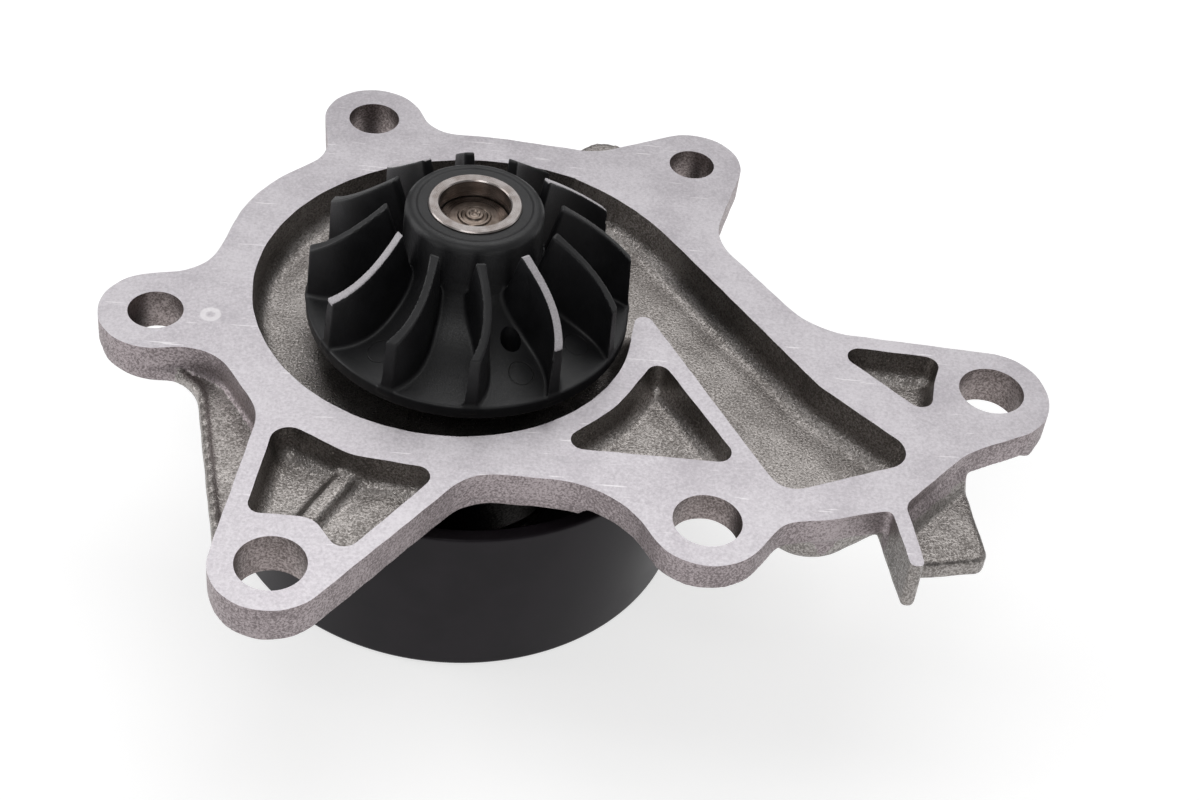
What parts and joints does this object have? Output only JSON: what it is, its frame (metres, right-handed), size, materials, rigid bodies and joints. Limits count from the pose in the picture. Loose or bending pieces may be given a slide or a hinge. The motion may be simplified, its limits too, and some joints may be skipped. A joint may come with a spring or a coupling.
{
  "type": "water pump",
  "caption": "Belt-driven engine coolant pump: cast volute housing with a machined mounting face, a moulded impeller and a flat-belt pulley on a shared shaft.",
  "frame": {"origin": "centre of the shaft's free outer end, flush with the pulley's outer face", "axes": "+Z along the shaft towards the impeller, out of the machined mounting face; +X towards the outlet end of the housing"},
  "size_m": [0.1733, 0.1427, 0.074],
  "materials": {
    "cast_aluminium": "as cast and shot blasted, with a machined mounting face",
    "bearing_steel": "ground and polished",
    "turned_steel": "fine turned, satin",
    "stamped_steel": "smooth stamped stainless",
    "coated_steel": "satin black coating",
    "black_plastic": "satin moulded, with a fine grain",
    "black_rubber": "matt moulded",
    "cage_nylon": "moulded nylon",
    "seal_carbon": "lapped carbon",
    "seal_ceramic": "lapped ceramic"
  },
  "bodies": {
    "housing_body": {"housing": "cast_aluminium", "bearing_outer_ring": "bearing_steel", "bearing_seal_pulley_side": "black_rubber", "bearing_seal_impeller_side": "black_rubber", "seal_case": "stamped_steel", "seal_bellows": "black_rubber", "seal_spring": "bearing_steel", "seal_retainer": "stamped_steel", "seal_carbon_ring": "seal_carbon"},
    "rotor": {"shaft": "turned_steel", "slinger": "black_rubber", "seal_mating_ring": "seal_ceramic", "seal_mating_ring_cup": "black_rubber", "impeller_bush": "turned_steel", "impeller": "black_plastic", "pulley_hub": "turned_steel", "pulley": "coated_steel"},
    "cage_pulley_side": {"ball_cage_pulley_side": "cage_nylon", "ball_pulley_side_1": "bearing_steel", "ball_pulley_side_2": "bearing_steel", "ball_pulley_side_3": "bearing_steel", "ball_pulley_side_4": "bearing_steel", "ball_pulley_side_5": "bearing_steel", "ball_pulley_side_6": "bearing_steel", "ball_pulley_side_7": "bearing_steel", "ball_pulley_side_8": "bearing_steel"},
    "cage_impeller_side": {"ball_cage_impeller_side": "cage_nylon", "ball_impeller_side_1": "bearing_steel", "ball_impeller_side_2": "bearing_steel", "ball_impeller_side_3": "bearing_steel", "ball_impeller_side_4": "bearing_steel", "ball_impeller_side_5": "bearing_steel", "ball_impeller_side_6": "bearing_steel", "ball_impeller_side_7": "bearing_steel", "ball_impeller_side_8": "bearing_steel"}
  },
  "joints": [
    {"name": "rotor_spin", "type": "hinge", "parent": "housing_body", "child": "rotor", "pos_m": [0, 0, 0.0218], "axis": [0, 0, 1], "continuous": true},
    {"name": "cage_spin_pulley_side", "type": "hinge", "parent": "housing_body", "child": "cage_pulley_side", "pos_m": [0, 0, 0.0163], "axis": [0, 0, 1], "continuous": true},
    {"name": "cage_spin_impeller_side", "type": "hinge", "parent": "housing_body", "child": "cage_impeller_side", "pos_m": [0, 0, 0.0273], "axis": [0, 0, 1], "continuous": true}
  ],
  "couplings": [
    {"joint": "cage_spin_pulley_side", "follows": "rotor_spin", "ratio": 0.3645},
    {"joint": "cage_spin_impeller_side", "follows": "rotor_spin", "ratio": 0.3645}
  ]
}
